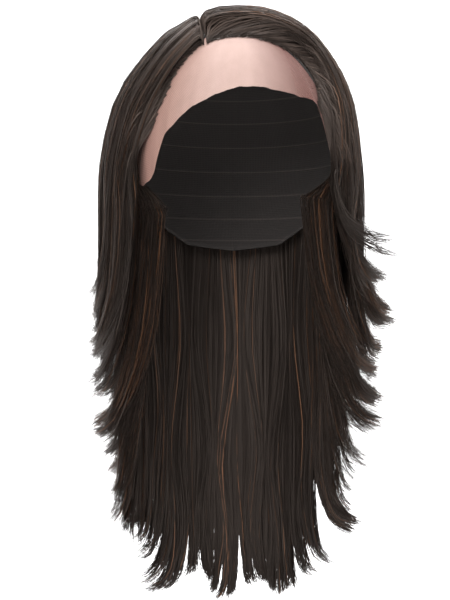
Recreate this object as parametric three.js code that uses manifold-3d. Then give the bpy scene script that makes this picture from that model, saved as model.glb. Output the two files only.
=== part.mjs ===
// Lace front wig with a side part: a stretch cap, a sheer lace front, long hair tied along the part,
// and wefts of hair sewn round the lower cap. Millimetres, +Z up, and the face looks along -Y.
// The origin is the crown of the head inside the cap. Right and left are the wearer's, so right is -X.
import * as THREE from "three";
import Module from "manifold-3d";

const wasm = await Module();
wasm.setup();

// Head that the cap is cut for: an ellipsoid of about 540 mm round, with its crown at the origin
const HEAD = { halfBreadth: 76, halfLength: 96, rise: 100 };

// Walls and gaps
const CAP_WALL = 1.5;
const LACE_WALL = 1.0;
const SEAT_GAP = 0.5;
const SEAM_DEGREES = 0.4;
const LACE_MARGIN = 1;
const PART_GAP = 1.2;
const WEFT_GAP = 0.6;

// Part line in plan, from the front hairline to the crown, and how far from it the hair crests
const PART_FRONT = new THREE.Vector2(-21, -52);
const PART_CROWN = new THREE.Vector2(-29, 26);
const CROWN_SPREAD = 9;
const CREST_OUT = 5;

// Hair: where the wefts are sewn, how the sheet of hair and its locks are built up
const WEFT_ROW = 84;
const WEFT_REST = 3;
const WIDEST_LEVEL = -HEAD.rise;
const SHEET_OUTER = 1.5;
const SHEET_INNER = 4;
const UNDER_CAP = 6;
const RIDGE_END = 1.1;
const VALLEY_END = 1.02;
const LOCK_SIDES = 6;
const LOCK_STEPS = 5;
const LOCK_START = 0.97;
const LOCK_RIDGE = 0.2;
const LOCK_FLATNESS = 0.5;
const LOCK_WIDE = 0.9;
const LOCK_TIP = 0.2;
const END_THINNING = 0.6;
const CROWN_FROM = WIDEST_LEVEL + 16;
const CROWN_FULL = WIDEST_LEVEL + 40;
const BACK_CREST = 0.25;
const BACK_SHOULDER = 0.7;
const CURL_ANGLES = [0, 32, 62, 96];

// Wearer's right is the narrow side of the part, and hair sweeps over the head to the left
const RIGHT = { side: -1, shoulderX: -52, shoulderScale: 1.06, shoulderShift: 0 };
const LEFT = { side: 1, shoulderX: 57, shoulderScale: 0.62, shoulderShift: 8 };

const table = (columns, rows) =>
  rows.map((row) => Object.fromEntries(columns.map((name, i) => [name, row[i]])));

// Lace and cap edges by azimuth from the front: the seam between them, the lace's cut edge, and its curl
const LACE_EDGE = table(
  ["azimuth", "seam", "edge", "curl"],
  [
    [-78, 82, 94, 0],
    [-70, 66, 99, 0],
    [-61, 54, 102, 0],
    [-53, 45, 100, 0],
    [-48, 41, 97, 0],
    [-44, 38, 89, 0],
    [-40, 35, 82, 0],
    [-33, 30, 77, 0],
    [-25, 26, 72, 0],
    [-12, 22, 67, 0],
    [3, 20, 63, 0],
    [16, 22, 63, 0],
    [31, 27, 65, 0],
    [42, 32, 66, 0],
    [50, 37, 67, 1],
    [53, 40, 70, 2],
    [56, 43, 85, 3],
    [60, 48, 91, 3],
    [66, 57, 95, 2],
    [72, 69, 98, 0],
    [78, 82, 94, 0],
  ],
);

// Rest of the cap's rim by azimuth, mirrored: ear tab, over the ear, and down to the nape
const CAP_RIM = table(
  ["azimuth", "rim"],
  [
    [78, 82],
    [82, 108],
    [92, 99],
    [105, 101],
    [125, 116],
    [145, 126],
    [180, 129],
  ],
);

// Locks tied along the part. part: 0 at the front, 1 at the crown. land: azimuth at the widest level.
// crest, loft and rest: height off the head near the part, at the shoulder and at the widest level.
// drop: depth of the tip below the crown. turn, flare and curl: how far the tip sweeps back, stands out
// and curls up. width: of the lock, and a row without one only shapes the edge of the sheet.
const TOP_COLUMNS = ["part", "land", "crest", "loft", "rest", "drop", "turn", "flare", "curl", "width"];
const RIGHT_LOCKS = table(TOP_COLUMNS, [
  [0.0, 55, 5, 5, 7, 268, 38, 18, 130, 18],
  [0.17, 63, 10, 11, 14, 246, 29, 14, 100, 22],
  [0.34, 72, 12.5, 13, 18, 200, 16, 8, 50, 22],
  [0.51, 83, 12.5, 14, 20, 224, 10, 7, 54, 22],
  [0.68, 94, 12.5, 14, 20, 247, 4, 9, 56, 22],
  [0.84, 106, 12.5, 14, 19, 270, 0, 12, 58, 22],
  [1.0, 117, 12, 13, 18, 288, 0, 12, 60, 20],
  [1.25, 130, 12, 13, 17, 290, 0, 12, 60, 0],
]);
const LEFT_LOCKS = table(TOP_COLUMNS, [
  [0.0, 54, 3, 4, 7, 180, 34, 32, 56, 18],
  [0.16, 63, 11, 16, 12, 197, 30, 20, 60, 22],
  [0.32, 73, 13.5, 19, 14, 226, 20, 25, 64, 22],
  [0.49, 83, 13.5, 19, 14, 243, 14, 18, 60, 22],
  [0.66, 94, 13.5, 18, 14, 261, 8, 21, 62, 22],
  [0.83, 106, 13, 17, 14, 284, 2, 20, 64, 22],
  [1.0, 118, 12, 15, 14, 298, 0, 18, 62, 20],
  [1.25, 134, 11, 14, 14, 298, 0, 18, 62, 0],
]);
const BACK_LOCKS = table(TOP_COLUMNS, [
  [1, -114, 11, 10, 17, 292, 0, 14, 60, 0],
  [1, -131, 11, 10, 17, 300, 6, 14, 60, 24],
  [1, -147, 11, 11, 17, 326, -6, 14, 62, 24],
  [1, -163, 12, 12, 16, 308, 6, 14, 62, 24],
  [1, -179, 12, 13, 16, 336, -6, 14, 62, 24],
  [1, -195, 12, 14, 16, 312, 6, 14, 62, 24],
  [1, -211, 12, 15, 15, 330, -6, 14, 62, 24],
  [1, -225, 12, 15, 14, 302, 6, 14, 62, 24],
  [1, -242, 12, 15, 14, 298, 0, 16, 60, 0],
]);

// Locks of the wefts, hung from the cap below the ears. rest: height lower down, off the head's widest line.
// tuck: how far the hanging length draws in towards the neck. sway: its sideways wave, in degrees.
const WEFT_COLUMNS = ["land", "rest", "tuck", "drop", "turn", "flare", "curl", "sway", "width"];
const RIGHT_WEFTS = table(WEFT_COLUMNS, [
  [65, 5, 22, 288, 34, 20, 130, 0, 22],
  [75, 7, 20, 317, 22, 14, 120, 0, 24],
  [87, 8, 14, 352, 10, 8, 110, 3, 24],
  [99, 8, 8, 376, 2, 11, 90, -3, 22],
  [112, 7, 3, 390, -8, -6, 90, 3, 20],
  [130, 5, 0, 390, 0, 0, 90, 0, 0],
]);
const LEFT_WEFTS = table(WEFT_COLUMNS, [
  [66, 3, 22, 256, 32, 26, 110, 0, 22],
  [76, 3, 20, 284, 24, 30, 110, 0, 24],
  [87, 3, 14, 302, 14, 30, 110, 0, 24],
  [98, 3, 8, 338, 4, 20, 90, 3, 24],
  [110, 3, 3, 366, -4, 10, 80, -3, 22],
  [121, 3, 0, 384, -14, 20, 70, 3, 14],
  [136, 3, 0, 384, 0, 14, 80, 0, 0],
]);
const BACK_WEFTS = table(WEFT_COLUMNS, [
  [-112, 4, 0, 386, 0, 4, 60, 0, 0],
  [-129, 4, 0, 396, 6, 8, 60, 4, 20],
  [-144, 3, 0, 442, 14, 13, 60, -5, 24],
  [-160, 2, 0, 424, -6, 8, 56, 5, 24],
  [-176, 1, 0, 448, 6, 8, 56, -5, 24],
  [-192, 1, 0, 430, -6, 8, 56, 5, 24],
  [-208, 2, 0, 446, 4, 10, 56, -5, 24],
  [-224, 4, 0, 416, -10, 14, 60, 4, 20],
  [-244, 4, 0, 384, 0, 14, 60, 0, 0],
]);

// Point on the head's ellipsoid grown by offset, from azimuth and polar angle in degrees
function headPoint(azimuth, polar, offset) {
  const a = THREE.MathUtils.degToRad(azimuth);
  const p = THREE.MathUtils.degToRad(polar);
  return new THREE.Vector3(
    (HEAD.halfBreadth + offset) * Math.sin(p) * Math.sin(a),
    -(HEAD.halfLength + offset) * Math.sin(p) * Math.cos(a),
    (HEAD.rise + offset) * Math.cos(p) - HEAD.rise,
  );
}

// Point above a plan position on the upper half of that ellipsoid
function abovePlan(x, y, offset) {
  const breadth = x / (HEAD.halfBreadth + offset);
  const length = y / (HEAD.halfLength + offset);
  const height = Math.sqrt(1 - breadth ** 2 - length ** 2);
  return new THREE.Vector3(x, y, (HEAD.rise + offset) * height - HEAD.rise);
}

// Point half way between two others, pushed out to the ellipsoid at a height off the head
function halfWay(p, q, offset) {
  const middle = p.clone().add(q).multiplyScalar(0.5);
  const direction = new THREE.Vector3(
    middle.x / HEAD.halfBreadth,
    middle.y / HEAD.halfLength,
    (middle.z + HEAD.rise) / HEAD.rise,
  ).normalize();
  return new THREE.Vector3(
    direction.x * (HEAD.halfBreadth + offset),
    direction.y * (HEAD.halfLength + offset),
    direction.z * (HEAD.rise + offset) - HEAD.rise,
  );
}

// Point below the widest level, where hair hangs free
function hangPoint(azimuth, out, z) {
  return headPoint(azimuth, 90, out).setZ(z);
}

// Direction away from the head, level below the widest level
function outward(p) {
  return new THREE.Vector3(
    p.x / HEAD.halfBreadth ** 2,
    p.y / HEAD.halfLength ** 2,
    Math.max(0, p.z + HEAD.rise) / HEAD.rise ** 2,
  ).normalize();
}

// Height of a point off the head, measured along its own radius
function heightOff(p) {
  const level = Math.max(0, p.z + HEAD.rise);
  const reach = Math.hypot(p.x / HEAD.halfBreadth, p.y / HEAD.halfLength, level / HEAD.rise);
  return Math.hypot(p.x, p.y, level) * (1 - 1 / reach);
}

// Value of a table's column at an azimuth, straight between rows
function valueAt(rows, column, azimuth) {
  const next = rows.findIndex((row) => row.azimuth >= azimuth);
  if (next <= 0) return rows[next < 0 ? rows.length - 1 : 0][column];
  const [low, high] = [rows[next - 1], rows[next]];
  const share = (azimuth - low.azimuth) / (high.azimuth - low.azimuth);
  return THREE.MathUtils.lerp(low[column], high[column], share);
}

// Closed solid from an indexed list of points, turned the right way out
function solidOf(points, triangles) {
  const make = (order) =>
    new wasm.Manifold(
      new wasm.Mesh({
        numProp: 3,
        vertProperties: new Float32Array(points.flatMap((p) => [p.x, p.y, p.z])),
        triVerts: new Uint32Array(triangles.flatMap(order)),
      }),
    );
  const made = make(([a, b, c]) => [a, b, c]);
  return made.volume() > 0 ? made : make(([a, b, c]) => [a, c, b]);
}

// Solid lofted through closed rings of equal count, with a fan over each end
function loft(rings) {
  const count = rings[0].length;
  const centre = (ring) => ring.reduce((sum, p) => sum.add(p), new THREE.Vector3()).divideScalar(count);
  const points = [...rings.flat(), centre(rings[0]), centre(rings.at(-1))];
  const [firstEnd, lastEnd] = [points.length - 2, points.length - 1];
  const triangles = [];
  for (let i = 0; i < count; i++) {
    const j = (i + 1) % count;
    triangles.push([firstEnd, i, j]);
    for (let r = 0; r < rings.length - 1; r++) {
      const [low, high] = [r * count, (r + 1) * count];
      triangles.push([low + i, high + i, low + j], [low + j, high + i, high + j]);
    }
    const last = (rings.length - 1) * count;
    triangles.push([lastEnd, last + j, last + i]);
  }
  return solidOf(points, triangles);
}

// Solid between two matching grids of points, given as columns from one edge to the other
function slab(outer, inner) {
  const rings = outer.map((column, i) => [...column, ...inner[i].toReversed()]);
  return loft(rings);
}

// Largest body of a solid that a cut may have left in pieces
function largest(solid) {
  return solid.decompose().reduce((best, body) => (body.volume() > best.volume() ? body : best));
}

// Smooth curve of a lock, with the share of it that comes before the curl and the steps that its sheet takes
function guideThrough(before, curl) {
  const curve = new THREE.CatmullRomCurve3([...before, ...curl], false, "centripetal");
  return { curve, hanging: before.length / (before.length + curl.length - 1), steps: before.length + 4 };
}

// Points of a lock's end, turning from straight down to straight out and a little up
function curlPoints(lock, side) {
  return CURL_ANGLES.map((degrees) => {
    const angle = THREE.MathUtils.degToRad(degrees);
    const swing = 1 - Math.cos(angle);
    const out = lock.rest + lock.flare * swing - (lock.tuck ?? 0) * Math.max(0, 1 - swing);
    const height = -lock.drop + lock.curl * (1 - Math.sin(angle));
    return hangPoint(side * (lock.land + lock.turn * swing), out, height);
  });
}

// Lock from its root over a crest and a shoulder to the widest level, hanging to its curl
function overHead(root, crest, shoulder, lock, side) {
  const landing = headPoint(side * lock.land, 90, lock.rest);
  return guideThrough(
    [
      root,
      crest,
      halfWay(crest, shoulder, (lock.crest + lock.loft) / 2),
      shoulder,
      halfWay(shoulder, landing, (lock.loft + lock.rest) / 2),
      landing,
      hangPoint(side * lock.land, lock.rest, (WIDEST_LEVEL - lock.drop + lock.curl) / 2),
    ],
    curlPoints(lock, side),
  );
}

// Lock tied at the part, over one side of the head
function topGuide(lock, form) {
  const root = PART_FRONT.clone().lerp(PART_CROWN, lock.part);
  const shoulderY = headPoint(lock.land, 90, lock.rest).y * form.shoulderScale + form.shoulderShift;
  return overHead(
    abovePlan(root.x + form.side * PART_GAP, root.y, CAP_WALL + SEAT_GAP),
    abovePlan(root.x + form.side * CREST_OUT, root.y, lock.crest),
    abovePlan(form.shoulderX, shoulderY, lock.loft),
    lock,
    form.side,
  );
}

// Lock tied round the crown end of the part, and down the back of the head
function backGuide(lock) {
  const { x, y } = headPoint(lock.land, 90, lock.rest);
  const landing = new THREE.Vector2(x, y);
  const toLanding = landing.clone().sub(PART_CROWN).normalize();
  const root = PART_CROWN.clone().addScaledVector(toLanding, CROWN_SPREAD);
  const crest = root.clone().lerp(landing, BACK_CREST);
  const shoulder = root.clone().lerp(landing, BACK_SHOULDER);
  return overHead(
    abovePlan(root.x, root.y, CAP_WALL + SEAT_GAP),
    abovePlan(crest.x, crest.y, lock.crest),
    abovePlan(shoulder.x, shoulder.y, lock.loft),
    lock,
    1,
  );
}

// Lock of a weft, down from its row of stitches, with a sideways wave, standing out to its rest lower down
function weftGuide(lock, side) {
  const end = -lock.drop + lock.curl;
  const hang = (share, sway) => {
    const rest = THREE.MathUtils.lerp(WEFT_REST, lock.rest, THREE.MathUtils.smoothstep(share, 0.2, 1));
    const out = rest - lock.tuck * THREE.MathUtils.smoothstep(share, 0.1, 0.8);
    return hangPoint(side * lock.land + sway, out, THREE.MathUtils.lerp(WIDEST_LEVEL, end, share));
  };
  return guideThrough(
    [
      headPoint(side * lock.land, WEFT_ROW, WEFT_REST),
      hang(0.2, 0),
      hang(0.5, lock.sway),
      hang(0.8, -lock.sway),
    ],
    curlPoints(lock, side),
  );
}

// Sheet of hair with a ridge along each lock and a valley between two, into their curls. On the crown it
// reaches down to the cap. Growing it moves its faces and its four edges outward and fills the valleys.
function hairSheet(rows, grow) {
  const sections = rows.flatMap(({ guide, width }, i) => {
    const ridge = {
      at: (t) => guide.curve.getPoint(t),
      end: guide.hanging * RIDGE_END,
      height: width * LOCK_RIDGE,
    };
    if (i === 0 || grow > 0) return [ridge];
    const { curve } = rows[i - 1].guide;
    const valley = {
      at: (t) => curve.getPoint(t).lerp(ridge.at(t), 0.5),
      end: guide.hanging * VALLEY_END,
      height: 0,
    };
    return [valley, ridge];
  });
  const steps = rows[0].guide.steps;
  const shares = Array.from({ length: steps + 1 }, (_, i) => i / steps);
  const atEnds = (i, last) => (i === 0 ? -grow : i === last ? grow : 0);
  const face = (offset) =>
    sections.map((section, column) => {
      const neighbour = column ? sections[column - 1] : sections[1];
      return shares.map((share, step) => {
        const point = section.at(section.end * share);
        const along = section.at(section.end * share + 0.01).sub(point).normalize();
        const sideways = point.clone().sub(neighbour.at(section.end * share)).normalize();
        return point
          .clone()
          .addScaledVector(along, atEnds(step, steps))
          .addScaledVector(sideways, Math.abs(atEnds(column, sections.length - 1)))
          .addScaledVector(outward(point), offset(point, section, share));
      });
    });
  const thinning = (share) => 1 - END_THINNING * THREE.MathUtils.smoothstep(share, 0.8, 1);
  const swell = (share) => THREE.MathUtils.smoothstep(share, 0, 0.4);
  const onCrown = (p) => THREE.MathUtils.smoothstep(p.z, CROWN_FROM, CROWN_FULL);
  const above = (p, { height }, share) => (SHEET_OUTER + height * swell(share)) * thinning(share) + grow;
  const below = (p, section, share) =>
    -THREE.MathUtils.lerp(SHEET_INNER * thinning(share) + grow, heightOff(p) + UNDER_CAP, onCrown(p));
  return slab(face(above), face(below));
}

// End of one lock as a flat tapering bundle, from inside its sheet to its tip
function lockEnd({ guide: { curve, hanging }, width }, grow) {
  const start = hanging * LOCK_START;
  const normal = outward(curve.getPoint(start));
  const rings = Array.from({ length: LOCK_STEPS + 1 }, (_, step) => {
    const share = step / LOCK_STEPS;
    const t = start + (1 - start) * share;
    const along = curve.getTangent(t);
    normal.addScaledVector(along, -normal.dot(along)).normalize();
    const across = new THREE.Vector3().crossVectors(along, normal);
    const taper = THREE.MathUtils.lerp(LOCK_WIDE, LOCK_TIP, THREE.MathUtils.smoothstep(share, 0.1, 1));
    const half = (width / 2) * taper + grow;
    const lengthening = step === 0 ? -grow : step === LOCK_STEPS ? grow : 0;
    const centre = curve.getPoint(t).addScaledVector(along, lengthening);
    return Array.from({ length: LOCK_SIDES }, (_, i) => {
      const angle = (i * 2 * Math.PI) / LOCK_SIDES;
      const height = Math.sin(angle) * LOCK_FLATNESS;
      return centre
        .clone()
        .addScaledVector(across, half * Math.cos(angle))
        .addScaledVector(normal, half * height + Math.sign(height) * grow);
    });
  });
  return loft(rings);
}

// Row of locks fused to their sheet
function hairRow(rows, grow = 0) {
  const ends = rows.filter(({ width }) => width > 0).map((row) => lockEnd(row, grow));
  return ends.reduce((sum, end) => sum.add(end), hairSheet(rows, grow));
}

// Upright wedge between two directions in plan from the crown, each side drawn in by half the part's gap
function wedge(fromAzimuth, toAzimuth) {
  const reach = 400;
  const middle = (fromAzimuth + toAzimuth) / 2;
  const direction = (azimuth) => {
    const a = THREE.MathUtils.degToRad(azimuth);
    return new THREE.Vector2(Math.sin(a), -Math.cos(a));
  };
  const spread = THREE.MathUtils.degToRad((toAzimuth - fromAzimuth) / 2);
  const tip = PART_CROWN.clone().addScaledVector(direction(middle), PART_GAP / 2 / Math.sin(spread));
  const corner = (azimuth) => tip.clone().addScaledVector(direction(azimuth), reach);
  const shape = new THREE.Shape([tip, corner(fromAzimuth), corner(middle), corner(toAzimuth)]);
  const prism = new THREE.ExtrudeGeometry(shape, { depth: 2 * reach, bevelEnabled: false });
  prism.translate(0, 0, -1.5 * reach);
  return fromGeometry(prism);
}

// Solid of a three.js geometry, with its shared corners merged by place
function fromGeometry(geometry) {
  const flat = geometry.index ? geometry.toNonIndexed() : geometry;
  const places = new Map();
  const points = [];
  const position = flat.getAttribute("position");
  const indices = Array.from({ length: position.count }, (_, i) => {
    const p = new THREE.Vector3().fromBufferAttribute(position, i);
    const key = p.toArray().map((v) => Math.round(v * 1e3)).join();
    if (!places.has(key)) places.set(key, points.push(p) - 1);
    return places.get(key);
  });
  const triangles = Array.from({ length: indices.length / 3 }, (_, i) => indices.slice(3 * i, 3 * i + 3));
  return solidOf(points, triangles.filter(([a, b, c]) => a !== b && b !== c && a !== c));
}

// Room that the head and cap take up, which all hair stays out of. It is grown until the middles of its
// facets are clear of the cap too.
function headRoom() {
  const around = 24;
  const down = 12;
  const ball = new THREE.SphereGeometry(1, around, down).rotateX(Math.PI / 2);
  const reach = 1 / (Math.cos(Math.PI / around) * Math.cos(Math.PI / (2 * down)));
  const offset = CAP_WALL + SEAT_GAP;
  ball.scale(HEAD.halfBreadth + offset, HEAD.halfLength + offset, HEAD.rise + offset);
  return fromGeometry(ball.scale(reach, reach, reach).translate(0, 0, -HEAD.rise));
}

// Azimuths of a table's rows with the ones half way between
function withMidpoints(rows) {
  return rows.flatMap(({ azimuth }, i) => (i ? [(azimuth + rows[i - 1].azimuth) / 2, azimuth] : [azimuth]));
}

// Stretch cap: a dome from the crown to the lace seam in front and to its rim behind
function capSolid() {
  const rows = 5;
  const seamAt = (azimuth) => valueAt(LACE_EDGE, "seam", azimuth) - SEAM_DEGREES;
  const rimAt = (azimuth) => valueAt(CAP_RIM, "rim", azimuth);
  const front = withMidpoints(LACE_EDGE).map((azimuth) => ({ azimuth, polar: seamAt(azimuth) }));
  const leftSide = withMidpoints(CAP_RIM).slice(1).map((azimuth) => ({ azimuth, polar: rimAt(azimuth) }));
  const mirrored = ({ azimuth, polar }) => ({ azimuth: -azimuth, polar });
  const rightSide = leftSide.slice(0, -1).toReversed().map(mirrored);
  const edge = [...front, ...leftSide, ...rightSide];
  const ring = (row, offset) =>
    edge.map(({ azimuth, polar }) => headPoint(azimuth, (polar * row) / rows, offset));
  const rowNumbers = Array.from({ length: rows }, (_, i) => i + 1);
  const outer = rowNumbers.map((row) => ring(row, CAP_WALL));
  const inner = rowNumbers.map((row) => ring(row, 0)).toReversed();
  return loft([...outer, ...inner]);
}

// Sheer lace from the cap's seam to its cut edge on the forehead, with a tab at each ear.
// A margin in degrees makes it larger all round, as room for the lace.
function laceSolid(offset, wall, margin = 0) {
  const rows = 4;
  const side = LACE_EDGE.at(-1).azimuth;
  const widened = (azimuth) => (Math.abs(azimuth) < side ? azimuth : azimuth + Math.sign(azimuth) * margin);
  const grid = (depth) =>
    withMidpoints(LACE_EDGE).map((azimuth) =>
      Array.from({ length: rows + 1 }, (_, row) => {
        const share = row / rows;
        const [seam, edge, curl] = ["seam", "edge", "curl"].map((c) => valueAt(LACE_EDGE, c, azimuth));
        const polar = THREE.MathUtils.lerp(seam - margin, edge + margin, share);
        return headPoint(widened(azimuth), polar, depth + curl * share ** 3);
      }),
    );
  return slab(grid(offset + wall), grid(offset));
}

// Named mesh of a solid in its own material
function piece(name, solid, material) {
  const { numProp, numVert, vertProperties, triVerts } = solid.getMesh();
  const positions = new Float32Array(numVert * 3);
  for (let i = 0; i < numVert; i++) {
    positions.set(vertProperties.subarray(i * numProp, i * numProp + 3), i * 3);
  }
  const geometry = new THREE.BufferGeometry()
    .setAttribute("position", new THREE.BufferAttribute(positions, 3))
    .setIndex(new THREE.BufferAttribute(triVerts, 1));
  geometry.computeVertexNormals();
  const mesh = new THREE.Mesh(geometry, material);
  mesh.name = name;
  return mesh;
}

const hairMaterial = new THREE.MeshStandardMaterial({ color: 0x2a201c, roughness: 0.45, metalness: 0 });
const laceMaterial = new THREE.MeshStandardMaterial({ color: 0xc49c94, roughness: 0.85, metalness: 0 });
const capMaterial = new THREE.MeshStandardMaterial({ color: 0x1d1816, roughness: 0.9, metalness: 0 });

// Sectors of the head that each row of hair keeps to, as azimuths from the crown
const FORWARD = THREE.MathUtils.radToDeg(
  Math.atan2(PART_FRONT.x - PART_CROWN.x, PART_CROWN.y - PART_FRONT.y),
);
const SECTORS = {
  right: wedge(-124, FORWARD),
  left: wedge(FORWARD, 112),
  back: wedge(112, 236),
};

const rowsOf = (locks, guideOf) => locks.map((lock) => ({ guide: guideOf(lock), width: lock.width }));
const wefts = {
  right: rowsOf(RIGHT_WEFTS, (lock) => weftGuide(lock, -1)),
  left: rowsOf(LEFT_WEFTS, (lock) => weftGuide(lock, 1)),
  back: rowsOf(BACK_WEFTS, (lock) => weftGuide(lock, 1)),
};
const tops = {
  right: rowsOf(RIGHT_LOCKS, (lock) => topGuide(lock, RIGHT)),
  left: rowsOf(LEFT_LOCKS, (lock) => topGuide(lock, LEFT)),
  back: rowsOf(BACK_LOCKS, backGuide),
};

const room = headRoom().add(laceSolid(-LACE_WALL, 2 * LACE_WALL + SEAT_GAP, LACE_MARGIN));
const weftRoom = Object.values(wefts)
  .map((rows) => hairRow(rows, WEFT_GAP))
  .reduce((sum, solid) => sum.add(solid));

const wig = new THREE.Group();
wig.add(piece("cap", capSolid(), capMaterial));
wig.add(piece("lace_front", laceSolid(0, LACE_WALL), laceMaterial));
for (const [where, rows] of Object.entries(wefts)) {
  const solid = hairRow(rows).intersect(SECTORS[where]).subtract(room);
  wig.add(piece(`weft_${where}`, largest(solid), hairMaterial));
}
for (const [where, rows] of Object.entries(tops)) {
  const solid = hairRow(rows).intersect(SECTORS[where]).subtract(room);
  wig.add(piece(`hair_${where}`, largest(solid.subtract(weftRoom)), hairMaterial));
}

export default wig;
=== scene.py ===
import math

import bpy
import numpy as np
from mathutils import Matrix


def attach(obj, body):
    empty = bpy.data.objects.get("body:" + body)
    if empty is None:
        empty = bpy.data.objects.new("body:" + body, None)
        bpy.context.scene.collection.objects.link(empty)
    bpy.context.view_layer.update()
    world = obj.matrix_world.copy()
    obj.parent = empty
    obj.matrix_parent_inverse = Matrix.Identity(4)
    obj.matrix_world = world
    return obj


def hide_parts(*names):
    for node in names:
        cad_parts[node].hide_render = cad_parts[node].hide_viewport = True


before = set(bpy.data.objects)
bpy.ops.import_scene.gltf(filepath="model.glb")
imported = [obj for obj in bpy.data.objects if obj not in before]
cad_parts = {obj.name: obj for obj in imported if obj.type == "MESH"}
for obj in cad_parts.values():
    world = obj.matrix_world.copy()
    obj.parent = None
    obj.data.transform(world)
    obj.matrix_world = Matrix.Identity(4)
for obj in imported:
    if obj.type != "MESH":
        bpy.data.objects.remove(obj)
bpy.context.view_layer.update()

# Sizes are in millimetres up to the meshes, which are in metres
MM = 0.001

# Head that the cap is cut for, with its crown at the origin, and heights off it of the cap and the hair
BREADTH, LENGTH, RISE = 76.0, 96.0, 100.0
AXES = np.array([BREADTH, LENGTH, RISE])
WIDEST = -RISE
BELOW_WIDEST = 30.0
CAP_INSIDE = 0.15
CAP_OUTSIDE = 1.35
ON_CAP = 2.0
CLEAR_OF_CAP = 2.4

# Part line in plan, how hair is tied along it, and the row that the wefts are sewn to
PART_FRONT = np.array([-21.0, -52.0])
PART_CROWN = np.array([-29.0, 26.0])
PART_GAP = 1.2
CROWN_SPREAD = 9.0
BACK_CREST = 0.25
BACK_SHOULDER = 0.7
ROOT_HEIGHT = 1.6
ROOT_SPREAD = 3.0
TEMPLE_REACH = 5.0
WEFT_ROW = 84.0
WEFT_REST = 3.0
CURL_ANGLES = np.radians([0, 32, 62, 96])

# Wearer's right is the narrow side of the part, and hair sweeps over the head to the left
RIGHT = dict(side=-1, crest_out=3.2, shoulder_x=-52, scale=1.06, shift=0)
LEFT = dict(side=1, crest_out=2.2, shoulder_x=57, scale=0.62, shift=8)

# Sheet of hair: its faces, the ridge of a lock, the clumps in a lock, and how much clumps and strands differ
SHEET_OUTER = 1.5
SHEET_INNER = -3.6
RIDGE = 0.2
ROOT_LIFT = 0.3
CLUMPS_A_LOCK = [-0.26, 0, 0.26]
CENTRE_SPREAD = 0.03
CLUMP_SPREAD = dict(drop=(-2, 5), turn=(0, 3), flare=(0, 2.5))
CURL_SPREAD = (0.85, 1.1)
TUCK_SPREAD = (0.3, 1.1)
STRAND_SPREAD = dict(drop=4, turn=2, flare=2)
WAVES = 1.7
STEP_POWER = 1.3

# Shares of length between which something comes or goes along a strand
ROOT_FADE = (0, 0.16)
LEAN_FADE = (0.05, 0.35)
WAVE_FADE = (0.3, 0.75)
TIP_FADE = (0.8, 1)

# Waves of single strands: their size, the turns of slow ones and of quick ones, and where they come in
WANDER = 1.1
SLOW_TURNS = (0.6, 2.4)
SLOW_FADE = (0.03, 0.7)
QUICK_TURNS = (2, 5)
QUICK_FADE = (0.7, 1)
OUT_SHARE = 0.5

# Under-layer of wide ribbons that closes the sheet, in the darkest tints as painted shade inside the hair
UNDER_A_ROW = 12
UNDER_WIDTH = 5.0
UNDER_TAPER = 0.7
UNDER_FADE = (-0.02, 0.08)
UNDER_DEPTH = -0.6
UNDER_LOOSE = 0.2
UNDER_SHADE_TINTS = 14
BARE_SHARE = 0.35
BARE_START = 0.24

# Single strands: how many, their width and tilt, how loose they are, and how far from their row they end
STRANDS = 2900
STRAND_WIDTH = (0.34, 0.66)
STRAND_TAPER = 0.6
STRAND_TILT = 0.35
FRAY_SHAPE = (1.1, 2.5)
LOOSE_SHARE = 0.03
LOOSE = 3.2
LOOSE_WIDTH = 0.55
HELD = (0.3, 1.1)
STAY_SHARE = 0.4
STAY_SPREAD = 0.1

# Rows with a free edge: one in so many strands follows it, and its first clumps end so much higher
EDGE_PART = 20
EDGE_RISE = np.array([20.0, 9.0, 0.0])
EDGE_FRAY = 0.12
EDGE_LOWER = 0.6
EDGE_TINTS = 24

# Strands tied along the hairline, by share of the first lock's length, the rows they climb to, which are
# fewer for those tied lower, and the wide strands that fill the hairline
HAIRLINE_SPAN = (0.01, 0.42)
HAIRLINE_DEPTH = (0.4, 1.4)
HAIRLINE_LEAN = 0.9
TEMPLE = (0.2, 0.34)
LANE_SHARE = (0.2, 1)
LANE_MOST = 4.6
LANE_LOSS = 6
LANE_END = (0.35, 1.15)
CLIMB_BASE = 0.6
FILLER_PART = 5
FILLER_DEPTH = 0.2
FILLER_WIDTH = 2.2
FILLER_TINTS = (14, 40)

# Plain sheet that the hairline climbs on: its rows, lines a row and steps along its length
CLIMB_ROWS = 6
CLIMB_LINES = 8
CLIMB_STEPS = 80

# Tints, the last of them auburn, and how light hair is by the share of its length, which is painted shade at
# the roots and painted sheen on the crown
TINTS = 64
FIRST_WARM = 50
SOME_WARM = 0.05
WARM_REACH = 0.25
PAINTED_SHEEN_AND_ROOT_SHADE = [(0, 0.42), (0.025, 0.72), (0.06, 1), (0.14, 0.93), (0.28, 0.5), (0.45, 0.36), (1, 0.36)]

# Lace by azimuth: the seam to the cap, the cut edge, and how far the edge curls up
LACE_EDGE = np.array([
    [-78, 82, 94, 0],
    [-70, 66, 99, 0],
    [-61, 54, 102, 0],
    [-53, 45, 100, 0],
    [-48, 41, 97, 0],
    [-44, 38, 89, 0],
    [-40, 35, 82, 0],
    [-33, 30, 77, 0],
    [-25, 26, 72, 0],
    [-12, 22, 67, 0],
    [3, 20, 63, 0],
    [16, 22, 63, 0],
    [31, 27, 65, 0],
    [42, 32, 66, 0],
    [50, 37, 67, 1],
    [53, 40, 70, 2],
    [56, 43, 85, 3],
    [60, 48, 91, 3],
    [66, 57, 95, 2],
    [72, 69, 98, 0],
    [78, 82, 94, 0],
], float)
LACE_OFF_HEAD = 0.5
LACE_CURL = 1.3
LACE_LIFT = 0.5
LACE_SMOOTHING = 1.2
RAGGED = 0.35

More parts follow.
